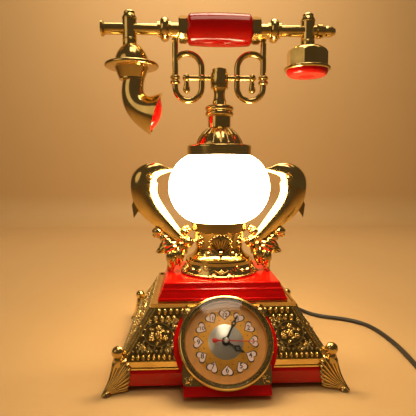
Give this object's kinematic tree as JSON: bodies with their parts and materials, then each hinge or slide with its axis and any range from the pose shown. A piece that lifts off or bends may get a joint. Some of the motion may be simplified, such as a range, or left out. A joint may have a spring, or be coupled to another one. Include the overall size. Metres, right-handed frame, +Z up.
{
  "type": "telephone lamp with clock",
  "caption": "Table lamp and clock shaped like an antique cradle telephone: gold plated base, dolphin arms, lit opal globe, cradle with a red handset, and a mains lead.",
  "frame": {"origin": "bottom centre of the object's box, on the surface that it stands on, without its lead", "axes": "+X to the viewer's right, the clock faces -Y, +Z up"},
  "size_m": [0.4558, 0.3537, 0.391],
  "materials": {
    "gold_plating": "bright gold electroplate on moulded plastic",
    "red_plastic": "glossy dark red moulded plastic",
    "black_plastic": "matt black moulded plastic",
    "steel": "zinc plated steel",
    "opal_glass": "white opal glass, lit from inside",
    "clear_glass": "clear domed lens",
    "bulb_glass": "frosted lamp bulb",
    "dial_card": "printed dial",
    "hand_black": "black painted tin",
    "hand_red": "red painted tin",
    "lead_rubber": "black flexible lead"
  },
  "bodies": {
    "base": {"bottom_plate": "black_plastic", "clock_bezel": "gold_plating", "clock_case": "red_plastic", "clock_dial": "dial_card", "clock_lens": "clear_glass", "clock_movement": "black_plastic", "clock_plate": "gold_plating", "corner_balls": "gold_plating", "dolphin_left": "gold_plating", "dolphin_right": "gold_plating", "foot_back_left": "gold_plating", "foot_back_right": "gold_plating", "foot_front_left": "gold_plating", "foot_front_right": "gold_plating", "globe": "opal_glass", "globe_cap": "gold_plating", "globe_seat": "gold_plating", "hook_switch": "black_plastic", "housing": "red_plastic", "lamp_bulb": "bulb_glass", "lampholder": "black_plastic", "lead_coil": "lead_rubber", "lead_gland": "lead_rubber", "lead_plug": "lead_rubber", "lead_tube": "lead_rubber", "ledge": "gold_plating", "neck_collar": "gold_plating", "panel_back": "gold_plating", "panel_front_left": "gold_plating", "panel_front_right": "gold_plating", "panel_left": "gold_plating", "panel_right": "gold_plating", "plate_screws": "steel", "plinth": "red_plastic", "skirt_band": "gold_plating", "socle": "gold_plating", "stepped_cap": "red_plastic", "tie_nuts": "steel", "tie_tube": "steel", "urn": "gold_plating"},
    "cradle": {"cradle_post": "gold_plating", "cradle_loop_left": "gold_plating", "cradle_loop_right": "gold_plating"},
    "handset": {"grip": "red_plastic", "grip_collars": "gold_plating", "rod_knobs": "gold_plating", "handset_tube": "gold_plating", "mouth_hub": "gold_plating", "mouth_dome": "gold_plating", "mouth_horn": "gold_plating", "mouth_insert": "red_plastic", "ear_hub": "gold_plating", "ear_cup": "gold_plating", "ear_pad": "red_plastic", "receiver_capsule": "black_plastic"},
    "hour_hand": {"hour_hand": "hand_black"},
    "minute_hand": {"minute_hand": "hand_black"},
    "second_hand": {"second_hand": "hand_red"}
  },
  "joints": [
    {"name": "hook_slide", "type": "slide", "parent": "base", "child": "cradle", "axis": [0, 0, 1], "range_m": [0, 0.004], "stiffness_N_per_m": 100, "springref_m": 0.02},
    {"name": "handset_lift", "type": "slide", "parent": "cradle", "child": "handset", "axis": [0, 0, 1], "range_m": [0, 0.13]},
    {"name": "minute_hand_turn", "type": "hinge", "parent": "base", "child": "minute_hand", "pos_m": [0, -0.09489, 0.05], "axis": [0, 0.788, -0.6157], "continuous": true},
    {"name": "hour_hand_turn", "type": "hinge", "parent": "base", "child": "hour_hand", "pos_m": [0, -0.09489, 0.05], "axis": [0, 0.788, -0.6157], "continuous": true},
    {"name": "second_hand_turn", "type": "hinge", "parent": "base", "child": "second_hand", "pos_m": [0, -0.09489, 0.05], "axis": [0, 0.788, -0.6157], "continuous": true}
  ],
  "couplings": [
    {"joint": "hour_hand_turn", "follows": "minute_hand_turn", "ratio": 0.083333}
  ]
}
